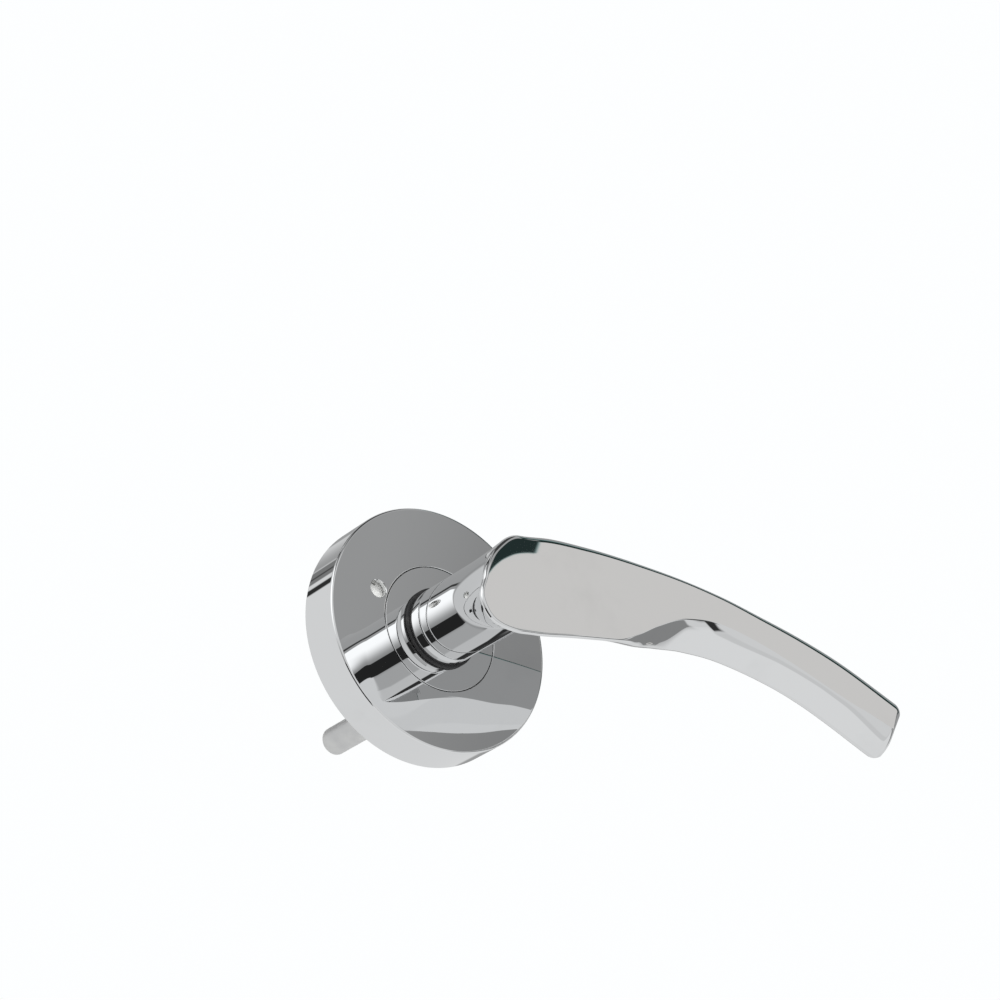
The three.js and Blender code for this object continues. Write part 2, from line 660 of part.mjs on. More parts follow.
function thrustWasher() {
  return ring(JOURNAL_RADIUS + SEAT_FIT, THRUST_WASHER_RADIUS, WASHER_FRONT, WASHER_BACK);
}

function drivePlate() {
  let disc = ring(0, SPRING_RADIUS + WIRE_RADIUS, PLATE_FRONT, PLATE_BACK, 48);
  disc = disc.add(sector(
    SPRING_RADIUS, PIN_CIRCLE + 0.5, FINGER_ANGLE - FINGER_HALF_ANGLE, FINGER_ANGLE + FINGER_HALF_ANGLE,
    PLATE_FRONT, PLATE_BACK, 4,
  ));
  disc = disc.add(sector(
    SPRING_RADIUS + WIRE_RADIUS + 0.3, PIN_CIRCLE + 0.5,
    FINGER_ANGLE - FINGER_HALF_ANGLE, FINGER_ANGLE + FINGER_HALF_ANGLE,
    PLATE_FRONT, FLOOR_FRONT - 2 * AXIAL_GAP, 4,
  ));
  const opening = ring(0, JOURNAL_RADIUS + SEAT_FIT, PLATE_FRONT - 1, PLATE_BACK + 1);
  const flats = block(2 * (JOURNAL_FLAT + SEAT_FIT), 40, PLATE_FRONT - 2, PLATE_BACK + 2);
  return disc.subtract(opening.intersect(flats));
}

function waveWasher() {
  const inner = JOURNAL_RADIUS + RUNNING_FIT;
  const outer = CLIP_POCKET_RADIUS - 0.5;
  const profile = [[inner, 0], [outer, 0], [outer, 0.25], [inner, 0.25], [inner, 0]];
  const geometry = new THREE.LatheGeometry(profile.map(([r, y]) => new THREE.Vector2(r, y)), 48);
  const positions = geometry.getAttribute('position');
  for (let i = 0; i < positions.count; i += 1) {
    const angle = Math.atan2(positions.getZ(i), positions.getX(i));
    const wave = 0.1 * Math.sin(3 * angle);
    positions.setY(i, positions.getY(i) + wave + FLOOR_BACK + 0.25);
  }
  return solid(geometry);
}

function circlip() {
  const ringBody = ring(CIRCLIP_GROOVE_RADIUS + SEAT_FIT, CIRCLIP_RADIUS, CIRCLIP_FRONT, CIRCLIP_BACK, 48);
  return ringBody.subtract(block(7, 30, CIRCLIP_FRONT - 1, CIRCLIP_BACK + 1, 0, -15));
}

function grubScrew() {
  const outer = GRUB_INNER + GRUB_LENGTH;
  const screw = grubBore(GRUB_RADIUS, GRUB_INNER, outer, 24);
  const socket = grubBore(GRUB_SOCKET_RADIUS, outer - GRUB_SOCKET_DEPTH, outer + 1, 6);
  return screw.subtract(socket);
}

function spindle() {
  return block(SPINDLE_SIZE, SPINDLE_SIZE, BORE_END + SEAT_FIT, SPINDLE_REACH);
}

add('rose_cover', roseCover(), CHROME);
add('rose_base', roseBase(), NYLON);
add('fixing_post_top', fixingPost(1), ZINC);
add('fixing_post_bottom', fixingPost(-1), ZINC);
add('cover_snap_ring', snapRing(), STEEL);
add('cover_release_catch', releaseCatch(), NYLON);
add('cassette_lid', cassetteLid(), STEEL);
add('lid_screw_right', lidScrew(LID_SCREW_ANGLES[0]), STEEL);
add('lid_screw_left', lidScrew(LID_SCREW_ANGLES[1]), STEEL);
add('bearing_bush', bearingBush(), NYLON);
add('return_spring', returnSpring(), STEEL);
for (const pin of STOP_PINS) add(pin.name, springPin(pin.angle), STEEL);
add('lever', lever(), CHROME);
add('neck_collar', neckCollar(), CHROME);
add('neck_ring', neckRing(), BLACK_NYLON);
add('inner_disc', innerDisc(), CHROME);
add('thrust_washer', thrustWasher(), NYLON);
add('drive_plate', drivePlate(), STEEL);
add('wave_washer', waveWasher(), STEEL);
add('circlip', circlip(), BLACK_STEEL);
add('grub_screw', grubScrew(), BLACK_STEEL);
add('spindle', spindle(), STEEL);

export default group;
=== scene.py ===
"""Chrome door lever handle on a round rose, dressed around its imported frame. Metres, +Z up."""
import math

import bmesh
import bpy
from mathutils import Euler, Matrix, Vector


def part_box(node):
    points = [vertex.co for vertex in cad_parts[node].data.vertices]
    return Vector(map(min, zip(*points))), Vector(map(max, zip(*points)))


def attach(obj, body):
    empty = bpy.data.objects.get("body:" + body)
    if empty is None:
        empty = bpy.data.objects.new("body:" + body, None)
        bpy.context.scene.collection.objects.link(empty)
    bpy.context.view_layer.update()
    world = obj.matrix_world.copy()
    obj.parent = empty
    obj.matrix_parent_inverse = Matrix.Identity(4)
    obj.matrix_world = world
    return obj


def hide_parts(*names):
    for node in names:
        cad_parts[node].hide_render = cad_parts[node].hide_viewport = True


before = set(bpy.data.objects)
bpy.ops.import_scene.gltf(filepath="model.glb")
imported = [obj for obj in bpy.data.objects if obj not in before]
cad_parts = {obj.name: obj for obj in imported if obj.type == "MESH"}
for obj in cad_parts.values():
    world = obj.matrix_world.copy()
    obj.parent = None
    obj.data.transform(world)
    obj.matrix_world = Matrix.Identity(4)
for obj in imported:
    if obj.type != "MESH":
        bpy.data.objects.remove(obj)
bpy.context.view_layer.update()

MM = 0.001

# ---------- sizes, read from the frame where the frame has them ----------
COVER_LOW, COVER_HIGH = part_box("rose_cover")
COLLAR_LOW, COLLAR_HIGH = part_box("neck_collar")
DISC_LOW, DISC_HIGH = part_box("inner_disc")
LEVER_LOW, LEVER_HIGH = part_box("lever")
SPINDLE_LOW, SPINDLE_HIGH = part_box("spindle")
GRUB_LOW, GRUB_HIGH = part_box("grub_screw")

ROSE_RADIUS = COVER_HIGH[0] / MM
ROSE_FRONT = COVER_LOW[1] / MM
COVER_INSIDE = DISC_HIGH[1] / MM
COVER_WALL = COVER_INSIDE - ROSE_FRONT
RUNNING_FIT = 0.2
SEAT_FIT = 0.1
OPENING_RADIUS = DISC_HIGH[0] / MM + RUNNING_FIT
ACCESS_HOLE_RADIUS = 2.25
ACCESS_HOLE_OFFSET = OPENING_RADIUS + 2.8
COLLAR_FRONT = COLLAR_LOW[1] / MM
COLLAR_BACK = COLLAR_HIGH[1] / MM
NECK_RADIUS = 9.6
JOURNAL_RADIUS = 8.0
JOURNAL_FLAT = JOURNAL_RADIUS - 1.1
FLAT_START = -9.0
JOURNAL_SEAT = JOURNAL_RADIUS + SEAT_FIT
NECK_GAP = 0.3
NECK_BACK = COLLAR_FRONT - NECK_GAP
JOINT_EDGE = 0.03
LEVER_FRONT = LEVER_LOW[1] / MM
LEVER_THICKNESS = 8.4
JOURNAL_END = LEVER_HIGH[1] / MM
BORE_SIZE = (SPINDLE_HIGH[0] - SPINDLE_LOW[0]) / MM + 2 * SEAT_FIT
TIP_CORNER = 3.0
POST_RADIUS = 3.5
POST_BORE_RADIUS = 2.0
POST_BORE_DEPTH = 16
POST_HEAD_DEPTH = 2.0
THREAD_RADIUS = 2.02
THREAD_PITCH = 0.7
THREAD_RIDGE = 0.24
THREAD_DEPTH = 14
THREAD_TURNS = 18
FLOOR_LEVEL = -0.62

# Where the camera stands, in metres, and how it is turned.
LENS_MM = 100
SENSOR_MM = 36
CAMERA_PLACE = (-0.25199, -0.50077, -0.37946)
CAMERA_DEGREES = (128.6852, -13.2973, -38.1629)


# ---------- shader trees: sockets that take part in Python expressions ----------
class Px:
    """A socket. Sums and products with it add Math nodes to its tree."""

    def __init__(self, book, socket):
        self.book = book
        self.socket = socket

    def math(self, operation, *values):
        return self.book.math(operation, self, *values)

    def __add__(self, other):
        return self.math("ADD", other)

    __radd__ = __add__

    def __mul__(self, other):
        return self.math("MULTIPLY", other)

    __rmul__ = __mul__

    def __sub__(self, other):
        return self.math("SUBTRACT", other)

    def __rsub__(self, other):
        return self.book.math("SUBTRACT", other, self)

    def __truediv__(self, other):
        return self.math("DIVIDE", other)

    def step(self, low, high):
        """0 below low, 1 above high, smooth between; low may lie above high."""
        node = self.book.node(
            "ShaderNodeMapRange", {"interpolation_type": "SMOOTHSTEP"},
            {"Value": self, "From Min": low, "From Max": high},
        )
        return node["Result"]


class Node:
    def __init__(self, book, node):
        self.book = book
        self.node = node

    def __getitem__(self, name):
        return Px(self.book, self.node.outputs[name])


class Book:
    """Writes one node tree."""

    def __init__(self, tree):
        self.tree = tree
        tree.nodes.clear()

    def node(self, kind, settings=None, values=None):
        made = self.tree.nodes.new(kind)
        for name, value in (settings or {}).items():
            setattr(made, name, value)
        for name, value in (values or {}).items():
            self.feed(made.inputs[name], value)
        return Node(self, made)

    def feed(self, socket, value):
        if isinstance(value, Px):
            self.tree.links.new(value.socket, socket)
        else:
            socket.default_value = value

    def math(self, operation, *values):
        made = self.tree.nodes.new("ShaderNodeMath")
        made.operation = operation
        for socket, value in zip(made.inputs, values):
            self.feed(socket, value)
        return Px(self, made.outputs[0])

    def mix(self, share, a, b):
        """A colour between a and b."""
        node = self.tree.nodes.new("ShaderNodeMix")
        node.data_type = "RGBA"
        self.feed(node.inputs[0], share)
        self.feed(node.inputs[6], a)
        self.feed(node.inputs[7], b)
        return Px(self, node.outputs[2])

    def noise(self, place, scale, detail=3.0, roughness=0.5):
        return self.node(
            "ShaderNodeTexNoise", {},
            {"Vector": place, "Scale": scale, "Detail": detail, "Roughness": roughness},
        )["Fac"]

    def stretched(self, place, scale):
        return self.node("ShaderNodeMapping", {}, {"Vector": place, "Scale": scale})["Vector"]

    def bump(self, height, strength, distance):
        return self.node(
            "ShaderNodeBump", {}, {"Height": height, "Strength": strength, "Distance": distance},
        )["Normal"]


def surface(name, build, **constants):
    """A material: build(book, place) returns the varying inputs of its Principled shader."""
    material = bpy.data.materials.new(name)
    material.use_nodes = True
    book = Book(material.node_tree)
    place = book.node("ShaderNodeTexCoord")["Object"]
    shader = book.node("ShaderNodeBsdfPrincipled")
    for socket, value in {**constants, **build(book, place)}.items():
        book.feed(shader.node.inputs[socket.replace("_", " ")], value)
    output = book.node("ShaderNodeOutputMaterial")
    book.feed(output.node.inputs["Surface"], shader["BSDF"])
    return material


# ---------- finishes ----------
def chrome_build(tint):
    """Polished nickel-chrome: faint handling haze, tiny polishing swirls, slight plating waviness."""
    def build(book, place):
        haze = book.noise(place, 55, 4, 0.6).step(0.52, 0.78)
        swirl = book.noise(book.stretched(place, (900, 900, 140)), 1.0, 2).step(0.66, 0.8)
        wave = book.noise(place, 120, 1, 0.3)
        bright = (*tint, 1)
        dull = (*(c * 0.94 for c in tint), 1)
        return {
            "Base Color": book.mix(haze * 0.7, bright, dull),
            "Roughness": 0.008 + haze * 0.014 + swirl * 0.01,
            "Normal": book.bump(wave, 0.08, 0.00002),
        }
    return build


def zinc_build(book, place):
    """Tumbled die-cast zinc: satin, with a fine grain and shallow pits."""
    grain = book.noise(place, 3200, 4, 0.6)
    patch = book.noise(place, 160, 3)
    pits = book.noise(place, 900, 2).step(0.68, 0.74)
    return {
        "Base Color": book.mix(patch.step(0.35, 0.7), (0.70, 0.70, 0.70, 1), (0.80, 0.80, 0.79, 1)),
        "Roughness": 0.36 + patch * 0.14 + pits * 0.1,
        "Normal": book.bump(grain * 0.5 - pits * 0.5, 0.35, 0.00004),
    }


def rolled_steel_build(book, place):
    """Zinc-plated sheet: fine rolling lines and a cloudy passivated bloom."""
    lines = book.noise(book.stretched(place, (6000, 400, 300)), 1.0, 3)
    cloud = book.noise(place, 260, 4, 0.6)
    return {
        "Base Color": book.mix(cloud.step(0.35, 0.7), (0.52, 0.54, 0.57, 1), (0.66, 0.66, 0.64, 1)),
        "Roughness": 0.24 + lines * 0.16 + cloud * 0.08,
        "Normal": book.bump(lines, 0.25, 0.00002),
    }


def drawn_wire_build(book, place):
    """Drawn spring wire: dark, with lengthwise draw marks and a little oil."""
    marks = book.noise(place, 2600, 3)
    oil = book.noise(place, 340, 2).step(0.45, 0.65)
    return {
        "Base Color": book.mix(oil, (0.34, 0.34, 0.35, 1), (0.24, 0.24, 0.24, 1)),
        "Roughness": 0.42 - oil * 0.2 + marks * 0.08,
        "Normal": book.bump(marks, 0.2, 0.00002),
    }


def black_oxide_build(book, place):
    """Blackened steel, rubbed bare in small specks."""
    rub = book.noise(place, 700, 4, 0.65).step(0.62, 0.74)
    skin = book.noise(place, 2400, 3)
    return {
        "Base Color": book.mix(rub, (0.030, 0.031, 0.034, 1), (0.22, 0.22, 0.23, 1)),
        "Roughness": 0.46 - rub * 0.16 + skin * 0.08,
        "Metallic": 0.55 + rub * 0.45,
        "Normal": book.bump(skin, 0.25, 0.00002),
    }


def nylon_build(book, place):
    """White moulded nylon: spark-eroded mould texture and faint flow clouding."""
    spark = book.noise(place, 2800, 5, 0.7)
    flow = book.noise(book.stretched(place, (90, 30, 60)), 1.0, 3)
    return {
        "Base Color": book.mix(flow.step(0.3, 0.75), (0.86, 0.86, 0.84, 1), (0.80, 0.80, 0.775, 1)),
        "Roughness": 0.46 + spark * 0.16,
        "Normal": book.bump(spark, 0.3, 0.00004),
    }


def black_nylon_build(book, place):
    """Black moulded nylon, slightly polished where it rubs."""
    spark = book.noise(place, 2400, 4, 0.7)
    rubbed = book.noise(place, 420, 2).step(0.5, 0.7)
    return {
        "Base Color": book.mix(rubbed, (0.012, 0.012, 0.013, 1), (0.022, 0.021, 0.021, 1)),
        "Roughness": 0.48 + spark * 0.14 - rubbed * 0.12,
        "Normal": book.bump(spark, 0.25, 0.00003),
    }


CHROME = surface("polished_chrome", chrome_build((0.86, 0.865, 0.87)), Metallic=1.0)
ZINC = surface("tumbled_zinc", zinc_build, Metallic=1.0)
SHEET = surface("plated_steel_sheet", rolled_steel_build, Metallic=1.0)
WIRE = surface("spring_wire", drawn_wire_build, Metallic=1.0)
BLACK = surface("black_oxide_steel", black_oxide_build)
NYLON = surface("moulded_nylon", nylon_build, IOR=1.53)
RUBBER = surface("black_nylon", black_nylon_build, IOR=1.53)


# ---------- mesh helpers ----------
def piece(name, bm, material, body, slot, *nodes, sharp=math.radians(28)):
    """A finished piece from a bmesh: outward faces, smooth but for its real edges."""
    bmesh.ops.remove_doubles(bm, verts=bm.verts, dist=1e-7)
    bmesh.ops.recalc_face_normals(bm, faces=bm.faces)
    for face in bm.faces:
        face.smooth = True
    for edge in bm.edges:
        edge.smooth = len(edge.link_faces) == 2 and edge.calc_face_angle(0) < sharp
    mesh = bpy.data.meshes.new(name)
    bm.to_mesh(mesh)
    bm.free()
    mesh.materials.append(material)
    made = bpy.data.objects.new(name, mesh)
    bpy.context.scene.collection.objects.link(made)
    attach(made, body)
    if nodes:
        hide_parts(*nodes)
    return made


def join_loops(bm, loops, closed=True):
    """Quads between loops of points that have the same count."""
    rows = [[bm.verts.new(point) for point in loop] for loop in loops]
    count = len(rows[0])
    for low, high in zip(rows, rows[1:]):
        for i in range(count if closed else count - 1):
            j = (i + 1) % count
            bm.faces.new((low[i], low[j], high[j], high[i]))
    return rows


def turned(bm, profile, segments=192, closed=False, x=0.0, z=0.0):
    """A body of revolution about a line along Y; the profile is (radius, y) in millimetres."""
    rings = []
    for radius, y in profile:
        if radius < 1e-6:
            rings.append([bm.verts.new(Vector((x, y, z)) * MM)])
            continue
        turn = [2 * math.pi * i / segments for i in range(segments)]
        rings.append([
            bm.verts.new(Vector((x + radius * math.cos(a), y, z + radius * math.sin(a))) * MM)
            for a in turn
        ])
    pairs = list(zip(rings, rings[1:]))
    if closed:
        pairs.append((rings[-1], rings[0]))
    for low, high in pairs:
        for i in range(segments):
            j = (i + 1) % segments
            if len(low) == 1:
                bm.faces.new((low[0], high[j], high[i]))
            elif len(high) == 1:
                bm.faces.new((low[i], low[j], high[0]))
            else:
                bm.faces.new((low[i], low[j], high[j], high[i]))
    return rings


def arc(centre, radius, start, end, steps=8):
    """Points of an arc in (radius, y), by degrees: 0 is outwards and -90 is towards the front."""
    return [
        (
            centre[0] + radius * math.cos(math.radians(start + (end - start) * i / steps)),
            centre[1] + radius * math.sin(math.radians(start + (end - start) * i / steps)),
        )
        for i in range(steps + 1)
    ]


def cut(bm, *cutters):
    """The bmesh with closed cutter bmeshes taken away, by the exact boolean."""
    def holder(source, name):
        bmesh.ops.recalc_face_normals(source, faces=source.faces)
        mesh = bpy.data.meshes.new(name)
        source.to_mesh(mesh)
        source.free()
        made = bpy.data.objects.new(name, mesh)
        bpy.context.scene.collection.objects.link(made)
        return made
    body = holder(bm, "cut_body")
    tools = [holder(cutter, "cut_tool") for cutter in cutters]
    for tool in tools:
        modifier = body.modifiers.new("cut", "BOOLEAN")
        modifier.operation = "DIFFERENCE"
        modifier.solver = "EXACT"
        modifier.object = tool
    shaped = body.evaluated_get(bpy.context.evaluated_depsgraph_get())
    result = bmesh.new()
    result.from_mesh(shaped.to_mesh())
    shaped.to_mesh_clear()
    for made in [body, *tools]:
        mesh = made.data
        bpy.data.objects.remove(made)
        bpy.data.meshes.remove(mesh)
    return result


def boxed(low, high):
    bm = bmesh.new()
    bmesh.ops.create_cube(bm, size=1.0)
    for vert in bm.verts:
        vert.co = Vector([
            (low[k] + high[k]) / 2 + vert.co[k] * (high[k] - low[k]) for k in range(3)
        ]) * MM
    return bm


# ---------- camera and light ----------
# Light levels of the tent: the white backdrop, the light and grey walls, and dark gaps.
BACKDROP = 0.72
BACKDROP_ABOVE = 0.34
WALL_GREY = 0.335
WALL_LIGHT = 0.68
FRONT_PANEL = 0.645
WHITE_PANEL = 1.3
LOWER_PANEL = 0.76
UPPER_WALL = 0.3
SIDE_WALL = 0.40
POLE = 0.05
GAP = 0.03
BLACK_PANEL = 0.02
ROOM_LIGHT = 0.95
# The slope to the right at which the light wall begins.
RIGHT_WALL = (0.588, 0.598)


def camera():
    data = bpy.data.cameras.new("camera")
    data.lens = LENS_MM
    data.sensor_width = SENSOR_MM
    data.clip_start = 0.01
    made = bpy.data.objects.new("camera", data)
    bpy.context.scene.collection.objects.link(made)
    made.location = CAMERA_PLACE
    made.rotation_euler = Euler([math.radians(a) for a in CAMERA_DEGREES], "XYZ")
    bpy.context.scene.camera = made


def over(base, share, value):
    """The base with a share of it painted over."""
    return base * (1 - share) + share * value


class Tent:
    """Directions out of the handle. In front of it, p is the slope to the right and q the slope
    upwards, and reach is the slope off the axis. Turns run in degrees from +X through +Z."""

    def __init__(self, book):
        way = book.node("ShaderNodeTexCoord")["Generated"]
        parts = book.node("ShaderNodeSeparateXYZ", {}, {"Vector": way})
        x, self.y, self.z = parts["X"], parts["Y"], parts["Z"]
        front = (0 - self.y).math("MAXIMUM", 0.05)
        self.p = x / front
        self.q = self.z / front
        self.reach = (self.p * self.p + self.q * self.q).math("SQRT")
        turn = self.z.math("ARCTAN2", x) * (180 / math.pi)
        self.turn = turn + (turn.math("LESS_THAN", 0)) * 360

    def sector(self, start, end, soft=4.0):
        return self.turn.step(start - soft, start + soft) * self.turn.step(end + soft, end - soft)


def neck_surroundings(tent, wall):
    """What the neck and the collar mirror: panels, gaps and poles all round the axis."""
    p, q, reach, turn, sector = tent.p, tent.q, tent.reach, tent.turn, tent.sector
    outer = reach.step(0.80, 0.86)
    below = 0.45 + p.step(0.56, 0.64) * 0.17
    wall = over(wall, outer * reach.step(1.05, 0.98) * sector(262, 352, 6), below)
    wall = over(wall, reach.step(0.98, 1.05) * sector(250, 360, 6), LOWER_PANEL)
    fading = WHITE_PANEL - turn.step(172, 222) * 0.98
    wall = over(wall, outer * sector(148, 222, 1.5), fading)
    wall = over(wall, outer * sector(222, 260, 1), BLACK_PANEL)
    near_right = turn.step(350, 355) + sector(-9, 20, 2)
    low_line = near_right * reach.step(0.99, 0.96) * q.step(-0.2, -0.1)
    wall = over(wall, outer * low_line, GAP)
    wall = over(wall, outer * sector(62, 146, 2), SIDE_WALL)
    wall = over(wall, outer * sector(133, 140, 1), POLE)
    return over(wall, reach.step(1.0, 1.1) * sector(86, 120, 4), POLE)


def front_panel(tent):
    """Shares of the bright panel that the lever's flat front mirrors, and of its dark frame."""
    p, q = tent.p, tent.q
    above = (q - (p - 0.5438) * 0.467).step(0.7955, 0.7965)
    surround = above * p.step(0.5300, 0.5315) * tent.reach.step(5.5, 4.5)
    right, up = p - 0.575, q - 0.81
    rounded = (right * right + up * up).math("SQRT").step(0.0453, 0.0443)
    lit = (rounded + p.step(0.5530, 0.5560)).math("MINIMUM", 1.0) * above
    lit = lit.math("MAXIMUM", p.step(*RIGHT_WALL) * q.step(0.78, 0.80))
    return lit * q.step(0.952, 0.942), surround


def backdrop(tent):
    """Behind the handle: white, greyer above, with dark poles at the upper left."""
    sector = tent.sector
    back = over(BACKDROP, sector(28, 84), BACKDROP_ABOVE)
    back = over(back, sector(84, 116, 2), 0.62 - tent.turn.step(84, 116) * 0.27)
    for start, end, level in ((117, 131, 0.2), (124, 126, 0.06), (136, 142, GAP)):
        back = over(back, sector(start, end, 1), level)
    return back


def softbox(name, place, size, power):
    """A soft light aimed at the handle, which lights it but isn't mirrored or seen."""
    data = bpy.data.lights.new(name, "AREA")
    data.size = size
    data.energy = power
    lamp = bpy.data.objects.new(name, data)
    bpy.context.scene.collection.objects.link(lamp)
    lamp.location = place
    lamp.rotation_euler = (-Vector(place)).to_track_quat("-Z", "Y").to_euler()
    lamp.visible_glossy = False
    lamp.visible_camera = False


def studio():
    """A light tent: white to the camera, with panels and dark gaps for the polished metal."""
    world = bpy.data.worlds.new("light_tent")
    bpy.context.scene.world = world
    world.use_nodes = True
    book = Book(world.node_tree)
    tent = Tent(book)
    p, q, reach = tent.p, tent.q, tent.reach

    wall = WALL_GREY - p.step(0.46, 0.57) * 0.085
    wall = over(wall, reach.step(0.82, 0.77), WALL_LIGHT)
    wall = over(wall, p.step(*RIGHT_WALL) * reach.step(1.3, 1.2), WALL_LIGHT)
    wall = neck_surroundings(tent, wall)
    panel, surround = front_panel(tent)
    wall = over(wall, surround, GAP)
    wall = over(wall, panel, FRONT_PANEL)
    wall = over(wall, q.step(2.4, 3.0) * tent.sector(20, 84, 3), UPPER_WALL)
    # A narrow dark gap that only the crisp line above the lower facet faces.
    slit = p.step(0.72, 0.74) * q.step(0.08, 0.2) * q.step(0.76, 0.7) * reach.step(1.1, 1.0)
    wall = over(wall, slit, POLE)

    facing = tent.y.step(0.04, -0.04)
    seen = over(backdrop(tent), facing, wall)
    rays = book.node("ShaderNodeLightPath")
    mirrored = rays["Is Glossy Ray"]
    room = ROOM_LIGHT + tent.z.step(-1.0, 1.0) * 0.2
    level = over(over(room, mirrored, seen), rays["Is Camera Ray"], 1.0)
    cool, warm, green = (0.985, 0.995, 1.0, 1), (1.0, 0.985, 0.965, 1), (0.6, 1.0, 0.97, 1)
    tint = book.mix(panel * facing * mirrored, cool, warm)
    tint = book.mix(surround * (1 - panel) * facing * mirrored, tint, green)
    glow = book.node("ShaderNodeBackground", {}, {"Color": tint, "Strength": level})
    output = book.node("ShaderNodeOutputWorld")
    book.feed(output.node.inputs["Surface"], glow["Background"])
    softbox("key_softbox", (-0.5, -0.7, 0.7), 0.6, 9.0)
    softbox("fill_softbox", (0.6, -0.5, -0.35), 0.5, 3.0)


def floor():
    """A pale floor well below the handle, which hangs on its door fixing."""
    bm = bmesh.new()
    bmesh.ops.create_grid(bm, x_segments=8, y_segments=8, size=4.0)
    for vert in bm.verts:
        vert.co.z = FLOOR_LEVEL
    mesh = bpy.data.meshes.new("floor")
    bm.to_mesh(mesh)
    bm.free()
    made = bpy.data.objects.new("floor", mesh)
    bpy.context.scene.collection.objects.link(made)

    def build(book, place):
        mottle = book.noise(place, 6, 3)
        return {"Base Color": book.mix(mottle, (0.80, 0.80, 0.80, 1), (0.84, 0.84, 0.84, 1))}

    mesh.materials.append(surface("pale_floor", build, Roughness=0.7))
    made.visible_glossy = False


# ---------- lever: the same rules as the solid, in fine steps ----------
MIDDLE_POINTS = [(0, 0), (30, 13.8), (60, 24), (90, 28.4), (116.5, 28)]
# Each table holds (place along the middle line, value there), both in millimetres.
HALF_ABOVE = [
    (0, 11.1), (10, 11.9), (20, 11.3), (30, 10.4),
    (44, 9.2), (60, 7.9), (76, 7.1), (125, 7.4),
]
HALF_BELOW = [
    (0, 14), (12, 13.2), (25, 12.4), (34, 11.6), (42, 10),
    (52, 8.2), (66, 7.2), (84, 7), (104, 7.7), (125, 8.1),
]
TOP_ROUND = [(0, 1.2), (10, 1.8), (30, 1.4), (50, 1.1), (80, 1.8), (125, 2.6)]
BOTTOM_ROUND = 0.6
# The flat front's lower border, below the middle line, and how deep the facet falls from it.
FLAT_BELOW = [
    (0, 14), (20, 12.4), (27, 11.6), (33, 9.6), (40, 5.9),
    (50, 1.8), (60, 0.4), (80, 1.6), (100, 2.8), (121, 1.4),
]
FACET_DROP = [(0, BOTTOM_ROUND), (25, BOTTOM_ROUND), (50, 4.8), (85, 5.4), (125, 5.4)]
BACK_INSET_ABOVE = [(0, 1.5), (12, 2.3), (30, 3), (60, 2.2), (125, 2)]
BACK_INSET_BELOW = [(0, 4.4), (25, 6.7), (40, 5.6), (56, 2.6), (125, 2.2)]
NECK_FLARE_END = 36
FLARE_DEEPER = 8
# The edge of the flat front round the neck, by degrees turned from the lower side.
PAD_RIM = [
    (0, 13.4), (20, 14.2), (45, 15.6), (63, 14.6),
    (83, 11.4), (115, 9.5), (140, 9.1), (180, 9.9),
]
SIDE_STEPS = 150
PAD_STEPS = 72
CORNER_STEPS = 14


def smoothstep(value, low, high):
    share = min(1.0, max(0.0, (value - low) / (high - low)))
    return share * share * (3 - 2 * share)


def lerp(a, b, share):
    return a + (b - a) * share


def stops(table, place):
    """A smooth value at a place, through a short list of (place, value) stops, with no overshoot."""
    last = len(table) - 1
    if place <= table[0][0]:
        return table[0][1]
    if place >= table[last][0]:
        return table[last][1]

    def rise(i):
        return (table[i + 1][1] - table[i][1]) / (table[i + 1][0] - table[i][0])

    def slope(i):
        if i in (0, last) or rise(i - 1) * rise(i) <= 0:
            return 0.0
        return 2 * rise(i - 1) * rise(i) / (rise(i - 1) + rise(i))

    i = next(k for k in range(last) if table[k + 1][0] >= place)
    span = table[i + 1][0] - table[i][0]
    t = (place - table[i][0]) / span
    return (
        table[i][1] * (1 + 2 * t) * (1 - t) ** 2 + table[i + 1][1] * t * t * (3 - 2 * t)
        + span * t * (1 - t) * (slope(i) * (1 - t) - slope(i + 1) * t)
    )


class MiddleLine:
    """Centripetal Catmull-Rom curve through the points, walked by arc length."""

    def __init__(self, points, samples=240):
        self.points = [Vector((x, 0, z)) for x, z in points]
        self.path = []
        for i in range(len(self.points) - 1):
            self.path += [self.between(i, k / samples) for k in range(samples)]
        self.path.append(self.points[-1].copy())
        self.along = [0.0]
        for a, b in zip(self.path, self.path[1:]):
            self.along.append(self.along[-1] + (b - a).length)
        self.length = self.along[-1]

    def between(self, i, t):
        p = self.points
        p1, p2 = p[i], p[i + 1]
        p0 = p[i - 1] if i > 0 else p1 * 2 - p2
        p3 = p[i + 2] if i + 2 < len(p) else p2 * 2 - p1
        d1, d2, d3 = (math.sqrt((b - a).length) for a, b in ((p0, p1), (p1, p2), (p2, p3)))
        m1 = ((p1 - p0) / d1 - (p2 - p0) / (d1 + d2) + (p2 - p1) / d2) * d2
        m2 = ((p2 - p1) / d2 - (p3 - p1) / (d2 + d3) + (p3 - p2) / d3) * d2
        return (
            p1 * (2 * t ** 3 - 3 * t * t + 1) + m1 * (t ** 3 - 2 * t * t + t)
            + p2 * (3 * t * t - 2 * t ** 3) + m2 * (t ** 3 - t * t)
        )

    def at(self, place):
        """The point at a place along the line, and the direction there."""
        place = min(max(place, 0.0), self.length)
        low, high = 0, len(self.along) - 1
        while high - low > 1:
            middle = (low + high) // 2
            if self.along[middle] <= place:
                low = middle
            else:
                high = middle
        share = (place - self.along[low]) / (self.along[high] - self.along[low])
        before, after = max(low - 2, 0), min(high + 2, len(self.path) - 1)
        direction = (self.path[after] - self.path[before]).normalized()
        return self.path[low].lerp(self.path[high], share), direction


def profile_rows():
    """Rows of the skin: how far round the front edge, then how far down the side."""
    rows = [("inset", 0.12), ("inset", 0.0)]
    rows += [("edge", 0.025)] + [("edge", k / 14) for k in range(1, 15)]
    rows += [("side", k / 22) for k in range(1, 23)]
    return rows


